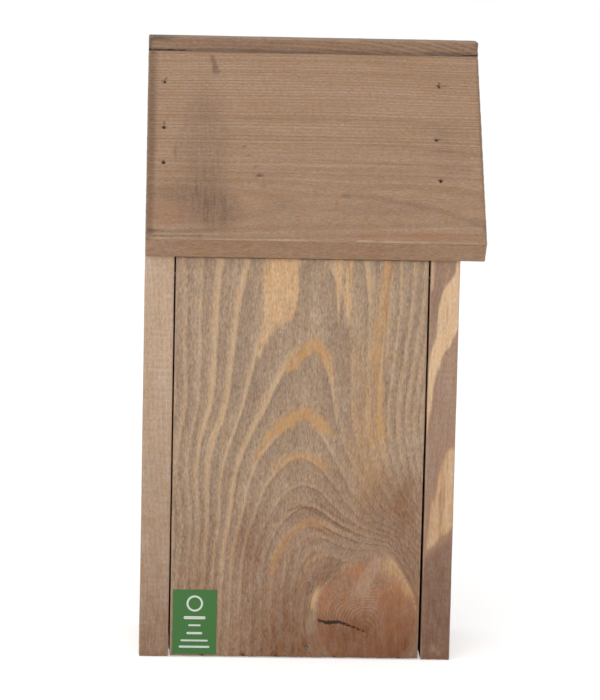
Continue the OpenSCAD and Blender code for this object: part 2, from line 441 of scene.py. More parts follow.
def add(tree, kind, *values, named=(), output=0, **settings):
    """Adds a node, makes its settings, and gives its inputs a value or a link, the first ones in their
    order and the others by name or number. Returns one of its outputs, if it has any."""
    made = tree.nodes.new("ShaderNode" + kind)
    for name, value in settings.items():
        setattr(made, name, value)
    for key, value in [*enumerate(values), *dict(named).items()]:
        if isinstance(value, bpy.types.NodeSocket):
            tree.links.new(value, made.inputs[key])
        else:
            made.inputs[key].default_value = value
    return made.outputs[output] if made.outputs else None


def new_material(name):
    """A material, and what adds a node to its empty tree."""
    material = bpy.data.materials.new(name)
    material.use_nodes = True
    material.node_tree.nodes.clear()
    return material, partial(add, material.node_tree)


def stained_pine(name, ground, shade, band, pale, dark, warm, late_mm=(0.9, 0.13), band_share=1.0,
                 saw=0.0, streak=0.3, lines=0.3, line_rate=5.5, edge_mm=0.6):
    """Softwood under a thin brown stain. The early wood drinks the stain and goes grey-brown, and the
    late wood of each ring stays a pale or orange band with a sharp inner edge and a soft outer one.
    Ground and shade are the early wood, band the late wood, pale the bare sapwood and, on the roof, a
    painted highlight along its ridge, dark the places where stain or dirt gathers together with the
    painted shade along seams, and warm the resinous ones. Late_mm gives the width of a late band: a
    part of its own, and a share of the distance between rings. Saw is the depth of the marks across
    the grain, streak the contrast of the fibres, lines that of the fine lines between the rings,
    line_rate how many of them a ring has and edge_mm the blur of a band's inner edge."""
    material, node = new_material(name)
    mark = {
        key: node("Attribute", attribute_name=key, output="Fac")
        for key in ("ring", "ring_gap", "wear_and_highlight", *PLAIN_MARKS)
    }
    gap, knot = mark["ring_gap"], mark["knot"]

    # Noises that swing about nought
    fibre = node("Attribute", attribute_name="fibre", output="Vector")
    noises = []
    for length, width, detail, roughness in PINE_NOISES.values():
        place = node("VectorMath", fibre, (1 / length, 1 / width, 1 / width), **TIMES)
        noise = node("TexNoise", place, named={"Scale": 1.0, "Detail": detail, "Roughness": roughness})
        noises.append(node("Math", noise, -0.5, **PLUS))
    fibres, dashes, pores, streaks, cloud, mottle, across, wide, blotch, hue = noises

    # Values made unsteady: what each starts from, and what swings it by how much
    unsteady = []
    for total, *swings in (
        (0.0, (wide, 2.4), (fibres, 0.6)),
        (fibres, (dashes, 0.5)),
        (fibres, (mottle, 0.6)),
        (mark["pale"], (streaks, 0.9), (fibres, 0.5)),
        (mark["warm"], (cloud, 0.5)),
        (mark["crack"], (dashes, 0.7), (pores, 0.6)),
        (knot, (mottle, 0.1), (dashes, 0.05)),
        (knot, (cloud, 0.5)),
        (0.0, (mottle, 0.9), (cloud, 1.2), (knot, KNOT_RINGS)),
        (0.5, (hue, 0.03)),
        (1.0, (mottle, 0.35)),
    ):
        for swing, amount in swings:
            total = node("Math", swing, amount, total, **TIMES_PLUS)
        unsteady.append(total)
    drift, broken, dark_breakup, ragged, redder, torn, rim, clouded, turns, tone, depth_of_tone = unsteady

    # Rings: the place inside a ring, in millimetres from its sharp inner edge
    drift = node("Math", drift, node("Math", gap, 6.0, **LARGER), operation="DIVIDE")
    ring = node("Math", mark["ring"], drift, **PLUS)
    inside = node("Math", ring, operation="FRACT")
    past_edge = node("Math", inside, gap, **TIMES)
    before_edge = node("Math", node("Math", 1.0, inside, operation="SUBTRACT"), gap, **TIMES)

    # Marks that show unevenly: the value that breaks one up, from where to where it rises, and how much
    # of the mark shows at either end. The last is the dark line before a late band
    shown = []
    for key, value, start, end, first, last in (
        ("warm", broken, -0.3, 0.1, 0.6, 0.92),
        ("dark", dark_breakup, -0.2, 0.2, 0.72, 0.98),
        ("scuff", across, -0.15, 0.15, 0.3825, 0.8075),
        ("wear_and_highlight", mottle, -0.1, 0.1, 0.1, 0.6),
        ("edge", before_edge, 0.0, 1.5, 0.75, 0.0),
    ):
        share = node("MapRange", value, start, end, first, last, **SMOOTH)
        shown.append(node("Math", mark[key], share, **TIMES))
    resin, grime_and_seam_shade, rubbed, worn_and_highlit, line = shown

    # The late band, its width varied from ring to ring
    number = node("Math", ring, operation="FLOOR")
    chance = node("TexWhiteNoise", named={"W": number}, noise_dimensions="1D")
    width = node("Math", gap, late_mm[1], late_mm[0], **TIMES_PLUS)
    width = node("Math", width, node("Math", chance, 0.7, 0.65, **TIMES_PLUS), **TIMES)
    fading, gone = (node("Math", width, share, **TIMES) for share in (0.4, 1.3))
    late = node("MapRange", past_edge, fading, gone, 1.0, 0.0, **SMOOTH)
    for factor in (
        node("MapRange", past_edge, -0.1, edge_mm, **SMOOTH),
        mark["band"],
        node("MapRange", broken, -0.3, 0.1, 0.75, 1.0, **SMOOTH),
        band_share,
    ):
        late = node("Math", late, factor, **TIMES)

    # Fine lines between the rings
    finer = node("Math", ring, line_rate, **TIMES)
    fine = node("TexNoise", named={"W": finer, "Scale": 1.0, "Detail": 3.0}, noise_dimensions="1D")
    fine = node("Math", node("Math", fine, -0.5, **PLUS), mark["band"], **TIMES)

    # The stained wood: deeper towards the late band, and pale where it is bare and where a highlight is
    # painted
    fall = node("MapRange", inside, 0.1, 1.0, 0.25 * (1 - band_share), 0.25 * (1 + band_share), **SMOOTH)
    deeper = node("Math", fall, node("MapRange", cloud, -0.15, 0.15, 0.0, 0.5, **SMOOTH), **PLUS)
    tint = node("Mix", named={0: mark["warm"], 6: linear(band), 7: linear(warm)}, **OVER)
    bare_and_highlit = node("MapRange", fibres, -0.2, 0.1, 0.85, 1.0, **SMOOTH)
    # On the roof the pale mark is a painted highlight along the front ridge, so this mask lays it too
    bare_and_highlit = node("Math", node("MapRange", ragged, 0.2, 0.8, **SMOOTH), bare_and_highlit, **TIMES)

    # A knot: reddish wood with close pale rings of its own round the branch's pith
    in_knot = node("MapRange", rim, 0.93, 1.02, 1.0, 0.0, **SMOOTH)
    turn = node("Math", turns, operation="FRACT")
    number = node("Math", turns, operation="FLOOR")
    luck = node("TexWhiteNoise", named={"W": number}, noise_dimensions="1D")
    thin = node("Math", luck, 0.64, 0.16, **TIMES_PLUS)
    for value, start, end, first, last in (
        (turn, 0.0, 0.3, 0.0, 1.0),
        (turn, 0.3, 0.75, 1.0, 0.0),
        (mark["warm"], 0.2, 0.8, 1.0, 0.1),
        (clouded, 0.6, 0.85, 1.0, 0.1),
        (node("Math", mark["dark"], knot, **PLUS), 1.15, 1.5, 1.0, 0.3),
    ):
        factor = node("MapRange", value, start, end, first, last, **SMOOTH)
        thin = node("Math", thin, factor, **TIMES)
    branch = linear(KNOT_BROWN)
    for share, over in (
        (node("MapRange", redder, 0.1, 0.8, **SMOOTH), KNOT_RED),
        (node("MapRange", blotch, -0.1, 0.15, 0.0, 0.35, **SMOOTH), KNOT_DARK),
        (thin, KNOT_LINE),
        (node("Math", mark["pale"], 0.9, **TIMES), pale),
        (node("Math", mark["scuff"], 0.8, **TIMES), KNOT_SCUFFED),
    ):
        branch = node("Mix", named={0: share, 6: branch, 7: linear(over)}, **OVER)

    # The colours laid over one another
    colour = linear(ground)
    # The last layer lays stain and dirt, and also the painted shade along seams
    for share, over in (
        (deeper, linear(shade)), (line, linear(dark)), (late, tint), (resin, linear(warm)),
        (bare_and_highlit, linear(pale)), (rubbed, linear(SCUFFED)), (in_knot, branch), (grime_and_seam_shade, linear(dark)),
    ):
        colour = node("Mix", named={0: share, 6: colour, 7: over}, **OVER)

    # The contrast of the grain, which is less in late, resinous and bare wood, under a painted highlight and
    # in the knot
    grain = node("Math", fibres, streak, **TIMES)
    for noise, depth in ((dashes, 1.1 * streak), (pores, 1.9 * streak), (across, saw), (fine, lines)):
        grain = node("Math", noise, depth, grain, **TIMES_PLUS)
    hard = node("Math", late, resin, **LARGER)
    for part, share in ((bare_and_highlit, 0.5), (in_knot, 0.6)):
        hard = node("Math", hard, node("Math", part, share, **TIMES), **LARGER)
    grain = node("Math", grain, node("Math", hard, -0.6, 1.0, **TIMES_PLUS), 1.0, **TIMES_PLUS)
    colour = node("Mix", named={0: 1.0, 6: colour, 7: grain}, blend_type="MULTIPLY", **OVER)
    colour = node("HueSaturation", named={"Hue": tone, "Saturation": depth_of_tone, "Color": colour})

    # Edges painted pale, partly as worn wood and partly as a painted highlight, and open cracks
    gape = node("MapRange", torn, -0.2, 0.35, 1.0, 0.0, **SMOOTH)
    for share, over in ((worn_and_highlit, WORN_AND_HIGHLIT), (node("Math", gape, 0.92, **TIMES), CRACK)):
        colour = node("Mix", named={0: share, 6: colour, 7: linear(over)}, **OVER)

    # Relief: fibres, late bands standing proud, saw marks and cracks
    height = node("Math", fibres, 0.8, **TIMES)
    for part, depth in ((late, 0.35), (across, 2 * saw), (dashes, 0.5), (gape, -2.5)):
        height = node("Math", part, depth, height, **TIMES_PLUS)
    bump = node("Bump", named={"Strength": 0.6, "Distance": 0.3 * MM, "Height": height})
    rough = node("Math", late, -0.4, fibres, **TIMES_PLUS)
    rough = node("MapRange", rough, -0.4, 0.3, 0.52, 0.78, **SMOOTH)
    surface = node("BsdfPrincipled", named={
        "Base Color": colour, "Roughness": rough, "IOR": 1.5, "Specular IOR Level": 0.3, "Normal": bump,
    })
    node("OutputMaterial", surface)
    return material


def drawn_wire(name, colour, roughness):
    """Steel wire, drawn through a die and cut into nails: fine die lines and a thin dull oxide, so the
    heads give small grey glints that vary from nail to nail."""
    material, node = new_material(name)
    place = node("TexCoord", output="Object")
    oxide = node("TexNoise", place, named={"Scale": 1 / (0.8 * MM), "Detail": 3.0})
    tint = node("Mix", named={0: oxide, 6: linear(colour), 7: linear(OXIDE)}, **OVER)
    rough = node("MapRange", oxide, 0.0, 1.0, roughness - 0.1, roughness + 0.2)
    bump = node("Bump", named={"Strength": 0.4, "Distance": 0.05 * MM, "Height": oxide})
    surface = node("BsdfPrincipled", named={
        "Base Color": tint, "Metallic": 1.0, "Roughness": rough, "Normal": bump,
    })
    node("OutputMaterial", surface)
    return material


def printed_film(name, colour, deep):
    """Vinyl film with a satin varnish over flat ink: an even colour with faint specks of ink and the
    slight orange peel of the glue under it."""
    material, node = new_material(name)
    place = node("TexCoord", output="Object")
    ink = node("TexNoise", place, named={"Scale": 1 / (0.9 * MM), "Detail": 2.0})
    peel = node("TexNoise", place, named={"Scale": 1 / (3 * MM), "Detail": 1.0})
    tint = node("Mix", named={0: ink, 6: linear(colour), 7: linear(deep)}, **OVER)
    rough = node("MapRange", ink, 0.0, 1.0, 0.38, 0.5)
    bump = node("Bump", named={"Strength": 0.3, "Distance": 0.05 * MM, "Height": peel})
    surface = node("BsdfPrincipled", named={
        "Base Color": tint, "Roughness": rough, "IOR": 1.46, "Specular IOR Level": 0.35, "Normal": bump,
    })
    node("OutputMaterial", surface)
    return material


# Boards

panel_pine = stained_pine(
    "stained_pine_panel", ground="B59A80", shade="A0866F", band="CBAA86", pale="D6AE84",
    dark="7A4A2C", warm="C99C6C", late_mm=(2.3, 0.08), streak=0.52, lines=0.3, edge_mm=1.3)
roof_pine = stained_pine(
    "stained_pine_roof", ground="B49379", shade="A78568", band="93745A", pale="C4A384",
    dark="553D2F", warm="A87555", late_mm=(0.5, 0.16), band_share=0.62, saw=0.08, streak=0.38,
    lines=0.55, line_rate=2.2, edge_mm=0.35)
batten_pine = stained_pine(
    "stained_pine_batten", ground="997B64", shade="886D59", band="AC8C6C", pale="B99878",
    dark="4D3D36", warm="A67C5E", late_mm=(0.5, 0.25), band_share=0.35, streak=0.36, lines=0.25,
    edge_mm=0.9)
left_pine = stained_pine(
    "stained_pine_left_wall", ground="D0B49A", shade="C3A58A", band="D6BA9F", pale="D6BA9F",
    dark="6E4630", warm="B88F68", late_mm=(0.5, 0.2), band_share=0.25, saw=0.34, streak=0.28, lines=0.12)
right_pine = stained_pine(
    "stained_pine_right_wall", ground="B4937C", shade="A58570", band="B9977F", pale="E5C19A",
    dark="5F3622", warm="BE8C5E", late_mm=(0.5, 0.2), band_share=0.25, saw=0.16, streak=0.3, lines=0.15)
inner_pine = stained_pine(
    "stained_pine_inside", ground="A88C73", shade="987C66", band="C09A75", pale="CBA582",
    dark="6E4A33", warm="B98555", late_mm=(0.5, 0.2), saw=0.12)


def panel_wood():
    """The front panel: a flat-sawn board whose rings show as nested arches, with a large knot at its
    lower right."""
    low, _, size, place = laid_out("front_panel", [Z, X, Y])
    brad_low, brad_high = box_mm("catch_brad")
    brad_u, brad_v, _ = ((brad_low + brad_high) / 2 - low)[[Z, X, Y]]
    brad_radius = (brad_high[X] - brad_low[X]) / 2 + BRAD_ROOM
    holes = [(brad_u, brad_v, brad_radius, -1, HEAD_SINK + HEAD_T)]
    points, quads = board(size, GRID_STEPS["front_panel"], holes)
    # The right edge was planed a little out of square, so its gap opens towards the foot
    share = points[:, V] / size[V] * (1 - points[:, U] / size[U])
    points[:, V] -= PLANED_OFF * share ** 2

    def panel_rings(p):
        """Ring number on the arches' axis, plus the sideways offset over the reach of one ring, raised
        to how pointed the arches are. The tips are rounded, the upper ones rise a little more, and
        deeper wood lies further in the log."""
        x, z, _ = round_the_knot(p[:, V] + low[X], p[:, U] + low[Z])
        middle, left, right, power = flowing(z, ARCHES, ARCH_BLUR)
        axis_ring, = flowing(z, ARCH_TOPS, TOP_BLUR)
        aside = x - middle
        spread = np.where(aside < 0, left, right)
        reach = np.hypot(aside, TIP_ROUND)
        tip = TIP_RISE * np.interp(z, (105, 135), (0, 1)) * np.exp(-reach / TIP_WIDTH)
        flank = (reach ** power - TIP_ROUND ** power) / spread ** power
        return axis_ring + flank - tip - p[:, W] / RING_SPACING

    def panel_marks(p):
        """What else the panel shows: bare sapwood at its top, resinous arches, the knot with its pale
        rim, rubbed wedge and crack, and stain gathered towards the foot."""
        x, z = p[:, V] + low[X], p[:, U] + low[Z]
        bent_x, bent_z, knot = round_the_knot(x, z)
        ring = panel_rings(p)
        aside = bent_x - flowing(bent_z, ARCHES, ARCH_BLUR)[0]
        near_face = step_down(p[:, W], 4, 12)
        foot = np.interp(z, *FOOT_STAIN) * np.interp(x, *FOOT_SIDES)
        foot = np.where(knot < 1, np.interp(z, *KNOT_GRIME), foot) * (1 - patches(z, x, CLEAN_PATCHES))
        grime_and_seam_shade = patches(z, x, PANEL_GRIME) + strokes(x, z, DARK_STROKES)
        resin = strokes(x, z, RESIN_STROKES) + patches(z, x, RESIN_PATCHES)
        pale = np.maximum(bare_sapwood(x, z) + knot_rim(x, z, knot), strokes(x, z, PALE_STROKES))
        wedge = step_down(
            np.abs(x - np.interp(z, WEDGE_Z, WEDGE_X)) - np.interp(z, WEDGE_Z, WEDGE_HALF), -1, 2)
        edge = np.interp(ring, *EDGE_STRENGTHS) * np.exp(-((aside - 6) / 21) ** 2)
        crack = path_distance(x, z, KNOT_CRACK) - np.interp(x, *CRACK_HALF)
        tear = path_distance(x, z, KNOT_TEAR) - 0.1
        torn = [path_distance(x, z, [(at, -1), (at + 0.4, top)]) - 0.5 for at, top in FOOT_TEARS]
        return {
            "fibre": np.stack([bent_z, bent_x, p[:, W]], 1),
            "band": band_strength(x, z, ring, aside),
            "edge": 0.05 + edge,
            "warm": np.clip(np.where(knot < 1, patches(x, z, KNOT_REDS), resin), 0, 1),
            "pale": pale * near_face,
            "dark": np.clip(foot + grime_and_seam_shade * near_face, 0, 1),
            "scuff": wedge * between(z, 36, 60, 6) * near_face,
            "knot": np.where(near_face > 0, knot, NO_KNOT),
            "crack": np.where(p[:, W] < 2, np.min([crack, tear, *torn], axis=0), NO_CRACK),
        }

    wooden("front_panel", "front", panel_pine, place, (points, quads), panel_rings,
           panel_marks, rough_ends=0.5)


def band_strength(x, z, ring, aside):
    """How strongly the late bands show: by ring, less at the foot, at the left edge, low on the left, on
    the axis above the top arch and, below two heights, to the right of the arches."""
    strength = np.interp(ring, *BAND_STRENGTHS) * np.interp(z, (14, 55), (0.4, 1))
    strength *= np.interp(x, (-70, -64, -52), (0.4, 0.7, 1))
    strength *= 1 - 0.5 * step_down(x, -50, -36) * step_down(z, 80, 125)
    strength *= 1 - 0.9 * np.exp(-(aside / 9) ** 4) * step_up(ring, -1.3, -1.1)
    past_right = step_up(aside, 9, 22) * np.interp(ring, (0.6, 2.6, 3.2), (1, 0.7, 0))
    strength *= 1 - 0.8 * past_right * step_down(z, 190, 215)
    return strength * (1 - 0.6 * step_up(aside, 14, 30) * step_down(z, 100, 140))


def bare_sapwood(x, z):
    """The bare patch at the panel's top, between its left edge and the axis, and two short tongues to
    the right of it, the first one ending in a point."""
    bare_and_highlit = step_up(x - np.interp(z, *PATCH_LEFT), -1.5, 1.5) * step_down(x, -4, -0.5)
    bare_and_highlit *= step_up(z - np.interp(x, *PATCH_FOOT), -10, 8) * (1 - patches(z, x, [PATCH_SHADE]))
    bare_and_highlit += 0.52 * between(x, 18, 30, 4) * step_up(z - 174 - 2.2 * np.abs(x - 24), 0, 24)
    return bare_and_highlit + 0.42 * between(x, 10, 18, 5) * step_up(z, 200, 224)


def knot_rim(x, z, knot):
    """The knot's pale rim: a broad stretch at its upper right, and thin ones round its outline."""
    angle = np.degrees(np.arctan2(z - KNOT[1], x - KNOT[0])) % 360
    rim = 0.72 * step_up(knot, 0.78, 0.92) * step_down(knot, 0.98, 1.06) * between(angle, 20, 72, 20)
    for strength, reach, width, first, last, blur in THIN_RIMS:
        rim += strength * np.exp(-((knot - reach) / width) ** 2) * between(angle, first, last, blur)
    return rim


# How far the panel's right edge was planed off at the foot
PLANED_OFF = 0.45
# The knot's outline: middle (x, z) and half widths, and the pith of its branch, in millimetres
KNOT = (39.5, 27.0, 29.0, 35.5)
KNOT_PITH = (39.3, 14.2)
# How far the knot's top leans right, and how round its flanks are: 1 would be straight and 2 an ellipse
KNOT_LEAN = 7.5
FLANK_RIGHT, FLANK_LEFT, FLANK_LOW = 1.4, 1.8, 2.0
# How much slower the reach grows over the knot's top, so that its rim is broader there
SLOW_TOP = 0.62
# Darkness of the knot by height, and its redder places: x, height, their half widths and strength
KNOT_GRIME = (
    (0, 8, 16, 22, 28, 34, 45, 60), (0.88, 0.8, 0.72, 0.62, 0.34, 0.24, 0.14, 0.1))
KNOT_REDS = [
    (57, 31, 14, 15, 1.0), (16.5, 34, 4, 8, 1.0), (35, 50, 8, 5, 0.8), (15, 10, 5, 7, 0.5),
    (60, 11, 11, 11, 0.6),
]
# Thin stretches of the knot's rim: strength, how far out they lie and how wide they are in knot
# outlines, and the angles in degrees from which and to which they run, with their blur
THIN_RIMS = [
    (0.4, 0.985, 0.03, -10, 40, 10), (1.0, 1.045, 0.05, 150, 178, 12), (0.5, 0.985, 0.03, 200, 236, 16),
]
# The wedge rubbed across the knot: heights, and its middle and half width there
WEDGE_Z = (38, 58)
WEDGE_X = (36.0, 45.0)
WEDGE_HALF = (4.6, 2.2)
# Edges of the bare patch at the panel's top: its left one by height, and its lower one by x, and a
# stained place in it
PATCH_LEFT = ((172, 184, 195, 226), (-25.5, -21.5, -20.5, -21.0))
PATCH_FOOT = ((-22, -17, -12, -8, -4, -1.5), (172, 183, 190, 190, 197, 204))
PATCH_SHADE = (226, -16, 16, 5, 0.42)
# Stain gathered at the foot, by height, and how much of it shows by x
FOOT_STAIN = ((0, 26, 60, 120, 226), (0.78, 0.64, 0.35, 0.08, 0.0))
FOOT_SIDES = ((-45, -12), (0.52, 0.96))
# The knot's crack, half its width by x, and a thin tear beside it
KNOT_CRACK = [(12.3, 22.4), (17.3, 20.6), (24.6, 21.2), (34.2, 17.9), (38.9, 15.8)]
CRACK_HALF = ((11, 14, 18, 24, 30, 36, 40), (0.1, 0.6, 1.0, 0.8, 0.65, 0.45, 0.2))
KNOT_TEAR = [(6.4, 43.8), (9.6, 41.1), (8.6, 38.0)]
# How much deeper in the panel the next ring's arches lie
RING_SPACING = 2.6
# Over how many millimetres the two tables below are softened
ARCH_BLUR = 44
TOP_BLUR = 36
# Rows from the foot up: height, middle of the arches, reach of one ring to the left and to the right,
# and how pointed the arches are
ARCHES = np.array([
    (0, 20, 10.5, 15, 1.23),
    (25, 20, 10.5, 15, 1.23),
    (50, 16.5, 12, 14, 1.35),
    (75, 8.5, 15, 12.5, 1.5),
    (100, 3, 20, 16, 1.65),
    (122, 1, 23, 18, 1.74),
    (147, 3.5, 24, 18.5, 1.75),
    (208, 7, 34, 26, 2),
    (226, 7, 36, 27, 2),
])
# Rows from the foot up: height and the number of the ring on the arches' axis
ARCH_TOPS = np.array([
    (0, -8.6), (41, -8.2), (60.5, -7), (67.4, -6), (75.4, -5), (85, -4), (97.3, -3), (112.8, -2),
    (132, -1), (173, 0), (226, 1.1),
])
# How far the tips of the upper arches rise, in rings, and their width and rounding in millimetres
TIP_RISE = 0.12
TIP_WIDTH = 6.0
TIP_ROUND = 2.5
# Ring numbers, with how strongly the late band of each shows and how dark the line before it is
RINGS = np.array([-9, -8, -7, -6, -5, -4, -3, -2, -1, 0, 1, 2, 3, 4, 5, 6, 8]) + 0.25
BAND_STRENGTHS = (
    RINGS, [0, 0, 0.2, 0.2, 0.7, 0.3, 0.55, 0.9, 1.05, 1.05, 1.05, 1.05, 1.1, 0.85, 0.6, 0.45, 0.35])
EDGE_STRENGTHS = (RINGS - 1, [0, 0, 0.15, 0.2, 0.35, 0.8, 0.7, 0.3, 0.15, 0.05, 0, 0, 0, 0, 0, 0, 0])
# Strokes on the panel: half width, strength and path by x and height. Resin fills the tips of the
# arches and a streak on the right, pale wood the inmost arches, and dark lines lie under some
RESIN_STROKES = [
    (2.8, 1.0, [(-4.5, 165.5), (1.5, 173), (6, 178), (9, 178), (12, 174), (14, 170)]),
    (2.0, 0.4, [(14, 170), (18.5, 161)]),
    (3.4, 1.0, [(-9, 132.5), (-3, 137), (3, 139.5), (8, 136.5), (13, 132)]),
    (2.4, 0.8, [(-17, 126.5), (-9, 132.5)]),
    (2.2, 0.7, [(13, 132), (19, 126.5)]),
    (1.6, 0.7, [(-24, 114), (-17, 126.5)]),
    (2.4, 0.6, [(-13, 109), (-6, 114), (1, 115.5), (9, 114), (14.5, 109.5)]),
    (1.8, 0.8, [(-13.5, 49), (-11, 58.5), (-5, 69), (1.5, 76), (8.5, 77.5), (13, 76)]),
    (1.2, 0.45, [(1, 41), (2.5, 48), (7.5, 56), (14, 59)]),
    (2.4, 0.75, [(47.5, 228), (45.5, 209), (44.5, 197), (42.5, 185), (42, 172)]),
    (2.2, 0.55, [(42, 172), (43, 157), (44.5, 142), (45, 128)]),
    (1.6, 0.4, [(-10, 162), (-4.5, 165.5)]),
]
PALE_STROKES = [
    (1.6, 0.42, [(-2, 171), (-10, 162), (-16, 154.5), (-23.5, 142.5)]),
    (1.4, 0.36, [(-7.5, 44), (-6.5, 53), (-1, 63.5), (8, 69), (18, 69.5)]),
    (1.4, 0.42, [(1, 41), (2, 47), (7.5, 56), (15.5, 59.5), (21, 59)]),
]
DARK_STROKES = [
    (0.7, 0.5, [(-5, 84), (1.5, 87), (10, 84), (19, 78), (29, 73)]),
    (0.7, 0.45, [(12, 88), (22, 81), (31, 76.5)]),
    (0.8, 0.4, [(49.5, 226), (47, 204), (46.5, 180), (46, 157)]),
    (0.9, 0.35, [(7, 75), (14, 73), (22.5, 67)]),
]
# Soft patches on the panel: height, x, half height, half width and strength
RESIN_PATCHES = [(118, 38, 34, 12, 0.4), (168, 32, 24, 7, 0.25), (218, -16, 16, 6, 0.5)]
PANEL_GRIME = [
    (87, 48, 22, 16, 0.3), (60, 62, 22, 8, 0.2), (98, 18, 16, 10, 0.15), (65, -27, 20, 10, 0.15),
    (50, 16, 8, 8, 0.15), (10, -6, 16, 16, 0.1), (68, -27, 12, 9, 0.12), (1, -52, 2.0, 2.2, 0.7),
    (1.2, -29, 2.0, 2.0, 0.7), (1, -11, 2.2, 2.4, 0.7), (6.5, 5, 5, 2.0, 0.4), (5, -1, 3, 1.4, 0.35),
    (40, 7, 3, 1.5, 0.3), (16, 37, 8, 9, 0.14), (24, 33, 14, 14, 0.08), (48, 17, 7, 7, 0.12),
    (8, 57, 9, 9, 0.15), (92, 62, 15, 9, 0.28), (58, -55, 24, 11, 0.14), (80, 2, 4, 12, 0.15),
]
CLEAN_PATCHES = [(33, 11, 9, 2.4, 0.75), (34, 16.5, 9, 4, 0.6), (20, 9, 6, 3, 0.5), (4, 19, 5, 6, 0.2)]
# Flecks torn out of the panel's foot: x and height
FOOT_TEARS = [(-52, 1.2), (-29, 1.6), (-24, 0.7), (-11, 1.9), (22, 1.1), (58, 0.9)]


def flowing(height, rows, reach):
    """The columns of a table, read at a height: straight lines between its rows, then softened by a
    running mean over an even number of millimetres."""
    fine = np.arange(-60.0, 300.0)
    soft = np.hanning(reach + 1) / np.hanning(reach + 1).sum()
    inner = fine[reach // 2:-reach // 2]
    return [
        np.interp(height, inner, np.convolve(np.interp(fine, rows[:, 0], column), soft, "valid"))
        for column in rows[:, 1:].T
    ]


def knot_reach(aside, above, shaped):
    """How far out in the knot a point lies, 1 on its outline, from its offsets to the middle. The
    outline is an egg that leans to the right at its top, and shaped tells how much of that shows, from
    0 for an upright ellipse."""
    high = np.maximum(above / KNOT[3], 0)
    aside = (aside - shaped * KNOT_LEAN * high ** 2) / KNOT[2]
    flank = np.where(above < 0, FLANK_LOW, np.where(aside > 0, FLANK_RIGHT, FLANK_LEFT))
    power = 2 + (flank - 2) * shaped ** 2
    return (np.abs(aside) ** power + np.abs(above / KNOT[3]) ** power) ** (1 / power)


def round_the_knot(x, z):
    """Wood that has flowed round the knot, put back where it would lie without one, and how far out in
    the knot a point lies: 0 at the pith and 1 at the outline. A point at e times the outline moves
    towards the knot's middle by the cube root of 1 - 1/e^3. Inside, six rounds find the outline's copy
    through the point, whose middle slides to the pith as it shrinks. Over the knot's top the reach
    changes more slowly, so that its rim is broader there."""
    middle_x, middle_z = KNOT[:2]
    e = knot_reach(x - middle_x, z - middle_z, 1.0)
    drawn_in = np.cbrt(1 - np.maximum(e, 1) ** -3.0)
    inner = e.copy()
    for _ in range(6):
        pith_x = KNOT_PITH[0] + (middle_x - KNOT_PITH[0]) * np.minimum(inner, 1)
        pith_z = KNOT_PITH[1] + (middle_z - KNOT_PITH[1]) * np.minimum(inner, 1)
        inner = knot_reach(x - pith_x, z - pith_z, np.minimum(inner, 1))
    top = np.exp(-((x - middle_x + 4) / 15) ** 2) * step_up(z, middle_z, middle_z + 20)
    knot = 1 + (np.where(e > 1, e, inner) - 1) * (1 - SLOW_TOP * top)
    bent_x = np.where(e > 1, middle_x + (x - middle_x) * drawn_in, x)
    bent_z = np.where(e > 1, middle_z + (z - middle_z) * drawn_in, z)
    return bent_x, bent_z, knot


def entrance_notch(cad, low, high):
    """The notch at the right wall's rear edge, as a box in board coordinates, from the wall's points: its
    lower and upper ends are levels of the rear edge, and its front lies where its lower corner's arc
    ends."""
    rear = cad[cad[:, Y] > high[Y] - 0.01]
    _, foot, top, *_ = np.unique(rear[:, Z].round(2))
    arc_end = np.abs(cad[:, Z] - foot - NOTCH_RADIUS) < 0.05
    front = cad[arc_end & (cad[:, Y] > low[Y] + 10)][:, Y].min()
    past = high - low + 1
    return (foot, front - low[Y], -1), (top, past[Y], past[X])


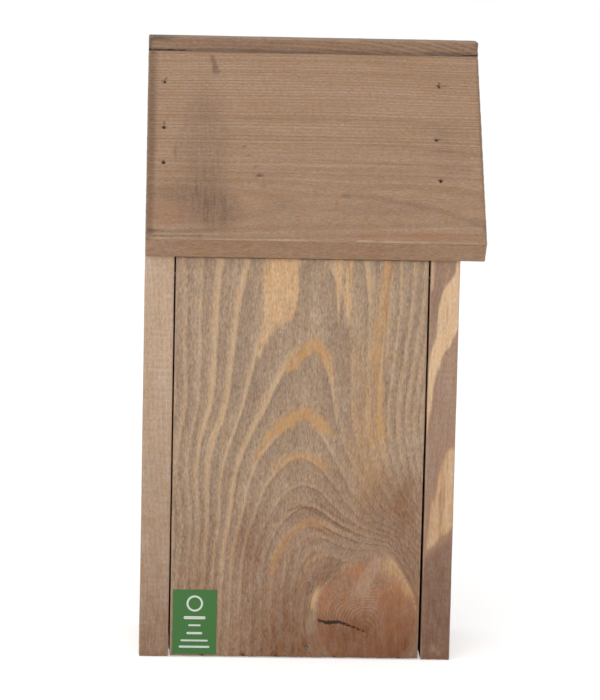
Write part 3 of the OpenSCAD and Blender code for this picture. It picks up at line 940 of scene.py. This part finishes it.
def wall_wood(side):
    """A side wall: sloped at the top, its grain upright, with nails driven in from outside. The right
    one has the entrance, a notch open at its rear edge."""
    side_name, material, pith, seed = SIDES[side]
    name = side_name + "_wall"
    low, high, size, place = laid_out(name, [Z, Y, X])
    outer = 0 if side == LEFT else size[W]
    pocket = sorted([outer - side * (HEAD_SINK + HEAD_T), outer + side])
    holes = [
        (nail[Z] - low[Z], nail[Y] - low[Y], radius, *pocket)
        for kind, spread, radius in WALL_NAILS for nail in nail_middles(kind + side_name, spread)
    ]
    notch = entrance_notch(points_mm(name), low, high) if side == RIGHT else None
    points, quads = board(size, GRID_STEPS[name], holes, notch, NOTCH_RADIUS)
    # The slope of the top: at the rear, heights up to WALL_HOLD stay, and what lies above is pressed under
    # the roof. Nearer the front, where the roof is too low for that, the whole height is pressed
    u = points[:, U]
    under_roof = size[U] - (size[V] - points[:, V])
    held = np.minimum(WALL_HOLD, under_roof - LEAST_PRESSED)
    above = held + (u - WALL_HOLD) * (under_roof - held) / (size[U] - WALL_HOLD)
    points[:, U] = np.where(u > WALL_HOLD, above, u * held / WALL_HOLD)

    def wall_marks(p):
        """Stain gathered towards the foot, and on the right wall's front edge two flames of bare
        sapwood that lean inwards as they go down and run on round the outer corner."""
        u, v = p[:, U], p[:, V]
        plain_edge = np.full(len(u), WALL_EDGE)
        if side == LEFT:
            return {"dark": np.interp(u, *LEFT_FOOT), "edge": plain_edge}
        outer_edge = p[:, W] / size[W]
        turned = outer_edge * (1 + v / 14) + 0.05 * sway(p, (25, 8, 8), 5)
        upper = step_up(turned - np.interp(u, *FLAME_INNER), -0.14, 0.1) * step_up(u, 120, 134)
        upper *= step_down(turned - np.interp(u, *FLAME_OUTER), -0.22, 0.08)
        upper *= np.interp(u, (130, 178), (0.8, 1))
        lower = step_up(turned - np.interp(u, *SECOND_INNER), -0.14, 0.1)
        lower *= step_down(turned - 1 - 0.5 * (1 - ((u - 98) / 26) ** 2), -0.1, 0.1)
        under = u - 15 * np.minimum(turned, 1.2)
        lower *= step_up(under, 57.5, 63) * step_down(u, 117, 126)
        front = step_down(v, 2, 16)
        sliver = between(outer_edge, 0.0, 0.14, 0.08) * step_up(u, 204, 212)
        pale = 0.7 * sliver + patches(u, outer_edge, WALL_SCRATCHES)
        foot = 0.26 * step_down(under, 53, 59) + patches(u, outer_edge, WALL_GRIME)
        return {
            "pale": np.clip(upper + 0.6 * lower + pale * front, 0, 1),
            "dark": np.interp(u, *RIGHT_FOOT) + foot * front,
            "warm": 0.8 * lower,
            "edge": plain_edge,
        }

    rings = log_rings(pith, WALL_RING, lean=(0.05, -0.03), seed=seed)
    wooden(name, "case", material, place, (points, quads), rings, wall_marks)


# The walls: name, wood, where the pith of the log lay, and the seed of its wandering
SIDES = {LEFT: ("left", left_pine, (-30, 60), 11), RIGHT: ("right", right_pine, (52, 44), 23)}
WALL_RING = 2.4
# Nails in a wall: node, the axis on which they are spread, and the radius of the pockets
WALL_NAILS = [("back_nails_", Z, POCKET_R), ("floor_nails_", Y, POCKET_R), ("pivot_nail_", Z, PIVOT_POCKET_R)]
# The radius of the entrance's corners, the height up to which a wall's grid stays as it is under the
# higher part of the roof, and the least height that is kept for what lies above it
NOTCH_RADIUS = 8
WALL_HOLD = 250.0
LEAST_PRESSED = 14
# How dark the lines between a wall's rings are
WALL_EDGE = 0.06
# The flames: heights, and their edges as shares of the wall's thickness, counted on round its corner
FLAME_INNER = (
    (137, 152, 164, 180, 195, 203, 209, 220, 229),
    (-0.12, -0.08, 0.02, 0.16, 0.33, 0.42, 0.54, 0.85, 0.98))
FLAME_OUTER = (
    (130, 137, 149, 162, 171, 178, 186, 194, 204, 226),
    (0.14, 0.2, 0.28, 0.39, 0.52, 0.79, 1.03, 1.24, 1.38, 1.42))
SECOND_INNER = ((62, 80, 100, 112, 121, 125), (0.06, 0.2, 0.42, 0.58, 0.74, 0.95))
# Stain gathered at the foot of the side walls: heights and strengths
LEFT_FOOT = ((0, 10, 31, 60, 150, 226), (0.74, 0.72, 0.61, 0.4, 0.16, 0.02))
RIGHT_FOOT = ((0, 40, 70, 150, 226), (0.46, 0.44, 0.2, 0.08, 0.02))
# Patches on the right wall's front edge: height, share of the thickness, half widths and strength
WALL_SCRATCHES = [(7, 0.45, 3, 0.1, 0.6), (4, 0.6, 2.5, 0.08, 0.5)]
WALL_GRIME = [(215, 0.12, 26, 0.3, 0.25), (196, 0.62, 6, 0.04, 0.35)]


def back_wood():
    """The back board: grain upright, its top bevelled to the roof, with two screw holes."""
    low, _, size, place = laid_out("back_board", [Z, X, Y])
    pattern = next(m for m in frame["record"]["mounts"] if m["name"] == "screw_holes")
    half = pattern["dims"]["spacing_y_mm"] / 2
    middle = pattern["pos_m"][Z] / MM
    holes = [(middle + k * half - low[Z], -low[X], SCREW_R, -1, size[W] + 1) for k in (-1, 1)]
    points, quads = board(size, GRID_STEPS["back_board"], holes)
    stretch_end(points, U, size[U] - BACK_STRETCH, size[U], size[U] - size[W] + points[:, W])
    rings = log_rings((88, -46), 2.7, lean=(-0.12, 0.05), seed=37)
    wooden("back_board", "case", inner_pine, place, (points, quads), rings)


def floor_wood():
    """The floor: grain front to back, with four drain holes a fifth of its sides from its middle."""
    _, _, size, place = laid_out("floor_board", [Y, X, Z])
    holes = [
        (size[U] / 2 + j * size[U] / 5, size[V] / 2 + i * size[V] / 5, DRAIN_R, -1, size[W] + 1)
        for i in (-1, 1) for j in (-1, 1)
    ]
    points, quads = board(size, GRID_STEPS["floor_board"], holes)
    rings = log_rings((60, -28), 2.5, lean=(0.1, 0.06), seed=41)
    wooden("floor_board", "case", inner_pine, place, (points, quads), rings)


def roof_wood():
    """The roof board: grain across the box, its front end cut square and its rear edge upright against
    the batten. Its nails stand upright in small torn pockets."""
    low, high = box_mm("roof_board")
    back_low, back_high = box_mm("back_board")
    thick = back_high[Y] - back_low[Y]
    slope = np.array([0, np.sqrt(0.5), np.sqrt(0.5)])
    up = np.array([0, -np.sqrt(0.5), np.sqrt(0.5)])
    origin = low - np.array([0, thick * up[Y], 0])
    axes = np.array([[1, 0, 0], slope, up])
    long_side = (high[Y] - low[Y]) / slope[Y]
    holes = []
    for nail in [*nail_middles("roof_nails_left", Y), *nail_middles("roof_nails_right", Y)]:
        surface = high[Z] - (high[Y] - nail[Y])
        u, v, _ = (np.array([nail[X], nail[Y], surface]) - origin) @ axes.T
        holes.append((u, v, ROOF_POCKET_R, thick - ROOF_HEAD_DEPTH, thick + 1))
    points, quads = board((high[X] - low[X], long_side, thick), GRID_STEPS["roof_board"], holes)
    # The pockets stand upright, as their nails do, so each level moves down the slope by its depth
    for u, v, radius, _, _ in holes:
        depth = thick - points[:, W]
        depth = np.where(depth < ROOF_LEAN_DEPTH, depth, 0)
        away = np.hypot(points[:, U] - u, points[:, V] - v)
        points[:, V] -= depth * step_down(away, radius * 1.2, radius * 3)
    # The underside is shorter than the top by the thickness, because the rear edge is upright
    stretch_end(points, V, long_side - ROOF_STRETCH, long_side, long_side - thick + points[:, W])

    def roof_marks(p):
        """Marks by their distance from the left end and down from the rear edge: a small knot, specks, a
        patch scuffed across the grain, dark and reddish streaks, lines along both edges, grime at the
        ends, the torn wood round the nails, painted shade along the seam at the rear edge and a painted
        highlight along the front ridge. The sawn front end shows plain early wood."""
        u, v, w = p.T
        down = long_side - v
        on_top = step_up(w, thick - 2.5, thick - 0.5)
        front_end = step_down(v, 0.2, 1.2)
        # The seam table paints shade along the rear edge, darkest where the seam stands open
        dark = np.maximum(patches(u, down, ROOF_GRIME), np.interp(u, *ROOF_SEAM_SHADE) * step_down(down, 0.3, 1.3))
        crack = np.full(len(u), NO_CRACK)
        for (at_u, at_v, _, _, _), (lean, rise, left, right) in zip(holes, NAIL_TEARS):
            tear = strokes(u, v, [(0.5, 0.9, [(at_u, at_v), (at_u + lean, at_v + rise)]),
                                  (0.5, 0.7, [(at_u - left, at_v), (at_u + right, at_v)])])
            dark = np.maximum(dark, tear + patches(u, v, [(at_u, at_v, 1.1, 1.1, 1.0)]))
            crack = np.minimum(crack, np.hypot(u - at_u, v - at_v) - 0.6)
        middle = np.interp(down, *SMALL_KNOT_MIDDLE)
        past_side = np.abs(u - middle) - np.interp(down, *SMALL_KNOT_HALF)
        dark = np.maximum(dark, 0.6 * step_down(past_side, -0.4, 0.7) * between(down, 3, 16.5, 2))
        dark = np.clip(dark + strokes(u, down, ROOF_STREAKS), 0, 1)
        band = np.interp(down, (40, 105), (1, 0.45)) * np.interp(u, (0, 70, 125, 188), (1.4, 1.3, 1.1, 1.35))
        return {
            "dark": np.maximum(dark, 0.02 + 0.14 * step_up(down, 20, 125)) * on_top,
            "warm": np.maximum(patches(u, down, ROOF_REDS) * on_top, 0.1 * front_end),
            "scuff": patches(u, down, ROOF_SCUFFS) * on_top,
            "crack": crack,
            # Pale on the top at the front ridge is a painted highlight along the edge
            "pale": patches(u, down, ROOF_RIDGE_HIGHLIGHT) * step_up(w, thick - 1.2, thick - 0.2),
            "band": (1 - 0.85 * front_end) * band,
            "edge": 0.1 * on_top * (1 - front_end),
        }

    level = log_rings((24, -34), 1.85, seed=53, drift=0.8)

    def roof_rings(p):
        """Level rings, but for the widest at the front, which run down to the right."""
        return level(p) + 0.006 * p[:, U] * step_down(p[:, V], 25, 70)

    wooden("roof_board", "case", roof_pine, (origin, axes), (points, quads), roof_rings,
           roof_marks, rough_ends=0.12)


# Soft patches on the roof: distance from the left end and from the rear edge, half widths and strength
ROOF_REDS = [
    (138, 130.5, 26, 2.6, 0.5), (165, 130.5, 20, 2.2, 0.45), (13, 116, 12, 10, 0.4), (10, 101, 9, 4, 0.35),
    (70, 104, 50, 1.4, 0.25),
]
ROOF_SCUFFS = [
    (32, 70, 14, 44, 0.54), (41, 116, 12, 13, 0.58), (31, 112, 18, 22, 0.4), (16, 103, 14, 7, 0.44),
    (170, 74, 9, 24, 0.12),
]
# A painted highlight along the front ridge, brightest in two places
ROOF_RIDGE_HIGHLIGHT = [(120, 134.9, 5, 0.8, 0.9), (134, 134.9, 3, 0.8, 0.8), (94, 134.8, 96, 0.7, 0.5)]
ROOF_GRIME = [
    (38.8, 15.6, 2.1, 1.7, 0.5), (54, 69.5, 1.3, 1.0, 0.7), (57, 76, 2.0, 0.8, 0.4),
    (60.5, 84, 1.8, 0.9, 0.5), (62.5, 90, 2.2, 1.3, 0.75), (65, 98, 0.9, 2.4, 0.45), (76, 112, 2, 1.6, 0.35),
    (180, 90, 8, 12, 0.16), (166, 70, 6, 20, 0.12), (160, 55, 8, 8, 0.1),
    (1.0, 66, 4.4, 110, 0.68), (187.4, 60, 1.6, 95, 0.5), (16, 74, 1.2, 8, 0.4), (6, 130, 8, 2.5, 0.2),
]
# Soft strokes on the roof: half width, strength and path, by the same distances
ROOF_STREAKS = [
    (2.4, 0.34, [(110, 102.5), (130, 105), (150, 109.5), (165, 113.5), (187, 124)]),
    (0.7, 0.6, [(5, 133.4), (18, 133.1), (30, 133.4)]),
    (0.6, 0.3, [(30, 133.4), (50, 133.2)]),
    (0.8, 0.4, [(2, 129.8), (20, 129.5), (38, 129.0)]),
    (1.0, 0.22, [(50, 49), (90, 49.5), (150, 48.5)]),
    (1.0, 0.2, [(46, 61), (100, 62), (140, 61)]),
    (1.1, 0.24, [(60, 77), (95, 78), (130, 80), (180, 83)]),
    (1.1, 0.22, [(62, 89.5), (100, 91), (135, 94)]),
    (1.2, 0.26, [(70, 99.5), (95, 102.5), (112, 104)]),
    (1.4, 0.2, [(120, 66), (150, 68), (187, 73)]),
]
# Torn wood at the roof nails, from the front back, first on the left: how far each tear leans and rises,
# and how far it runs to the left and to the right
NAIL_TEARS = [
    (0.0, 0.8, 1.0, 0.6), (0.0, 3.2, 2.0, 1.5), (0.8, 2.2, 1.2, 1.2),
    (0.4, 1.5, 1.6, 0.8), (-0.6, 0.8, 1.4, 1.8), (0.0, 2.4, 1.5, 4.0),
]
# How dark the painted shade along the seam at the rear edge is, darkest where the seam stands open, by the
# distance from the left end, and the small knot's middle and half width by the distance from the rear edge
ROOF_SEAM_SHADE = ((0, 18, 24, 60, 170, 178, 188), (1, 0.95, 0.55, 0.45, 0.6, 1, 1))
SMALL_KNOT_MIDDLE = ((2.5, 15), (35.8, 38.5))
SMALL_KNOT_HALF = ((2, 15), (0.5, 1.9))


def batten_wood():
    """The batten across the back: grain across the box, standing a little above the roof."""
    low, high, size, place = laid_out("rear_batten", [X, Z, Y])
    pocket = (size[W] - HEAD_SINK - HEAD_T, size[W] + 1)
    holes = [
        (nail[X] - low[X], nail[Z] - low[Z], POCKET_R, *pocket)
        for nail in nail_middles("batten_nails", X, Z)
    ]
    points, quads = board(size, GRID_STEPS["rear_batten"], holes)
    above_roof = high[Z] - box_mm("roof_board")[1][Z]

    def batten_rings(p):
        """Rings nearly level along the left half, running down to the right on the rest."""
        drop = 0.0018 * np.maximum(p[:, U] - 98, 0) ** 2
        wander = sway(p, (120, 60, 60), 67) + 0.35 * sway(p, (30, 8, 8), 68)
        return (size[V] - p[:, V] - drop + 1.6 * wander) / 2.3 + (size[W] - p[:, W]) / 5

    def batten_marks(p):
        """A warmer upper edge over greyer wood, bluish-black stain at the left corner, painted shade on the
        face just above the roof, and the seam along the roof."""
        u, down = p[:, U], size[V] - p[:, V]
        by_roof = step_down(p[:, W], 1, 3)
        # The second part is painted shade on the front face just above the roof, along the seam
        dark = patches(u, down, BATTEN_STAIN) + by_roof * patches(u, down, BATTEN_SEAM_SHADE)
        seam = np.abs(down - above_roof) - np.interp(u, *OPEN_SEAM)
        return {
            "dark": np.clip(dark, 0, 1),
            "warm": patches(u, down, BATTEN_REDS),
            "edge": np.full(len(u), 0.15),
            "crack": np.where(by_roof > 0.5, seam, NO_CRACK),
            "band": np.interp(u, (60, 120), (1, 1.7)),
        }

    wooden("rear_batten", "case", batten_pine, place, (points, quads), batten_rings,
           batten_marks)


# Soft patches on the batten: distance from the left end and from the top, half widths and strength
BATTEN_STAIN = [(2, 0, 12, 2.2, 1.0), (0, 4, 2, 8, 0.8), (187, 2, 2, 3, 0.5)]
# Painted shade on the front face just above the roof, along the seam: distance from the left end and from the
# top, half widths and strength
BATTEN_SEAM_SHADE = [(60, 7.3, 90, 1.2, 0.4), (150, 7, 50, 1.2, 0.3), (172, 7, 16, 1.3, 0.4)]
BATTEN_REDS = [(60, 3.6, 80, 1.6, 0.25), (150, 2, 30, 1.2, 0.2)]
# Half the width of the open seam along the roof by the distance from the left end, below 0 where it is shut
OPEN_SEAM = ((0, 20, 34, 166, 178, 188), (0.3, 0.2, -0.5, -0.5, 0.1, 0.4))


# Label

def label_print():
    """Generic white marks on the label: a plain ring over five bars of unlike lengths. Each is a band of
    quads between an outer and an inner circle, which a bar's length pulls apart at the middle, and lies
    just on the film."""
    low, high = box_mm("label")
    middle = (low + high) / 2
    turn = np.linspace(0, 2 * np.pi, PRINT_SIDES, endpoint=False)
    marks = [PRINT_RING]
    for height, share, thick in LABEL_BARS:
        marks.append((height, (share * (high[X] - low[X]) - thick) / 2, thick / 2, 0.02))
    points, quads = [], []
    ring = np.arange(PRINT_SIDES)
    after = (ring + 1) % PRINT_SIDES
    for height, half, outer, inner in marks:
        first = PRINT_SIDES * len(points)
        for reach, lift in ((outer, 0), (outer, PRINT_T), (inner, PRINT_T), (inner, 0)):
            points.append(np.stack([
                middle[X] + reach * np.cos(turn) + np.sign(np.cos(turn)) * half,
                np.full(PRINT_SIDES, low[Y] - lift),
                middle[Z] + height + reach * np.sin(turn),
            ], 1))
        for k in range(4):
            a, b = first + PRINT_SIDES * k, first + PRINT_SIDES * ((k + 1) % 4)
            quads.append(np.stack([a + ring, a + after, b + after, b + ring], 1))
    ink = printed_film("white_ink", "E9EEE6", "DCE4D8")
    made = finish_piece("label_print", np.concatenate(points), np.concatenate(quads), ink, "front")


# How far the print stands out from the film, in millimetres, and the sides of its circles
PRINT_T = 0.04
PRINT_SIDES = 64
# The print's ring: height over the label's middle, half length, outer and inner radius
PRINT_RING = (10.5, 0.0, 4.6, 3.5)
# Bars of the print: height over the label's middle, length as a share of the label's width, thickness
LABEL_BARS = [
    (2.4, 0.5, 1.7), (-1.9, 0.28, 1.0), (-6.4, 0.36, 1.3), (-10.6, 0.62, 1.0), (-14.2, 0.7, 1.2),
]


def dress_cad_nodes():
    """Gives the CAD nodes that stay in view their materials."""
    bright = drawn_wire("drawn_steel_wire", "A7A39C", 0.35)
    dull = drawn_wire("dulled_steel_wire", "57504A", 0.5)
    film = printed_film("green_vinyl_film", "4B7D43", "427239")
    looks = {"nail_steel": bright, "nail_dull": dull, "label_film": film}
    for node, made in frame["nodes"].items():
        if made.hide_render:
            continue
        slot = "label_film" if node == "label" else "nail_dull" if node.startswith("roof") else "nail_steel"
        made.data.materials.clear()
        made.data.materials.append(looks[slot])


# Studio

# The photograph's camera: focal length in pixels of a picture 700 high, the point it looks at and its
# distance in millimetres, and its turn to the side, down and about its own axis in degrees
FOCAL_PX = 3754.3
PICTURE_PX = 700
SENSOR_MM = 36
AIM = np.array([1.04, 0, 168.32])
DISTANCE = 2115.4
YAW, PITCH, ROLL = np.radians([2.249, 8.858, 1.259])


def set_camera():
    """Places the camera on its aim, backs it off, and turns it by yaw, pitch and roll in that order."""
    cy, sy, cp, sp, cr, sr = (f(a) for a in (YAW, PITCH, ROLL) for f in (np.cos, np.sin))
    level = np.array([[1, 0, 0], [0, 0, -1], [0, 1, 0]])
    yawed = np.array([[cy, 0, -sy], [0, 1, 0], [sy, 0, cy]]) @ level
    pitched = np.array([[1, 0, 0], [0, cp, -sp], [0, sp, cp]]) @ yawed
    right, down, ahead = np.array([[cr, -sr, 0], [sr, cr, 0], [0, 0, 1]]) @ pitched
    data = bpy.data.cameras.new("camera")
    data.sensor_width = SENSOR_MM
    data.lens = FOCAL_PX / PICTURE_PX * SENSOR_MM
    camera = bpy.data.objects.new("camera", data)
    turn = Matrix(np.stack([right, -down, -ahead], 1).tolist())
    camera.matrix_world = Matrix.Translation((AIM - ahead * DISTANCE) * MM) @ turn.to_4x4()
    bpy.context.scene.collection.objects.link(camera)
    bpy.context.scene.camera = camera


def lay_floor():
    """A wide pale floor of matt paper, lighter to the camera than to the light so that it meets the
    white behind it, which keeps the object's shadow."""
    material, node = new_material("matt_white_paper")
    place = node("TexCoord", output="Object")
    tooth = node("TexNoise", place, named={"Scale": 1 / (2 * MM), "Detail": 2.0})
    bump = node("Bump", named={"Strength": 0.1, "Distance": 0.1 * MM, "Height": tooth})
    paper = node("BsdfDiffuse", linear("F7F7F7"), named={"Normal": bump})
    lift = node("Math", node("LightPath", output="Is Camera Ray"), FLOOR_LIFT, **TIMES)
    glow = node("Emission", named={"Strength": lift})
    node("OutputMaterial", node("AddShader", paper, glow))
    mesh = bpy.data.meshes.new("floor")
    corners = [(x * FLOOR_HALF, y * FLOOR_HALF, 0) for x, y in ((-1, -1), (1, -1), (1, 1), (-1, 1))]
    mesh.from_pydata(corners, [], [(0, 1, 2, 3)])
    mesh.materials.append(material)
    floor = bpy.data.objects.new("floor", mesh)
    bpy.context.scene.collection.objects.link(floor)


def light_studio():
    """An even white room, a broad soft lamp above the camera and a weaker one from the left, square ones
    that point at the middle of the box. The world shows pure white to the camera, and to rays that a
    surface reflects or lets through."""
    world = bpy.data.worlds.new("studio")
    bpy.context.scene.world = world
    world.use_nodes = True
    world.node_tree.nodes.clear()
    node = partial(add, world.node_tree)
    seen = node("LightPath", output="Is Camera Ray")
    for kind in ("Is Glossy Ray", "Is Transmission Ray"):
        seen = node("Math", seen, node("LightPath", output=kind), **LARGER)
    strength = node("Mix", named={0: seen, 2: ROOM_LIGHT, 3: 1.0})
    node("OutputWorld", node("Background", linear("FFFFFF"), strength))
    for name, place, size, watts in LAMPS:
        data = bpy.data.lights.new(name, "AREA")
        data.size = size
        data.energy = watts
        lamp = bpy.data.objects.new(name, data)
        lamp.location = place
        lamp.rotation_euler = (LAMP_AIM - lamp.location).to_track_quat("-Z", "Y").to_euler()
        bpy.context.scene.collection.objects.link(lamp)


# Half the floor's side in metres, how much lighter it is to the camera, and the white room's light
FLOOR_HALF = 6.0
FLOOR_LIFT = 0.42
ROOM_LIGHT = 0.62
# The lamps: name, place and size in metres, and watts
LAMPS = [("key_lamp", (-0.5, -1.9, 1.7), 1.6, 17), ("side_lamp", (-1.9, -0.8, 0.9), 1.2, 5)]
LAMP_AIM = Vector((0, 0, 0.17))

panel_wood()
wall_wood(LEFT)
wall_wood(RIGHT)
back_wood()
floor_wood()
roof_wood()
batten_wood()
label_print()
dress_cad_nodes()
set_camera()
lay_floor()
light_studio()
bpy.context.scene.view_settings.view_transform = "Standard"
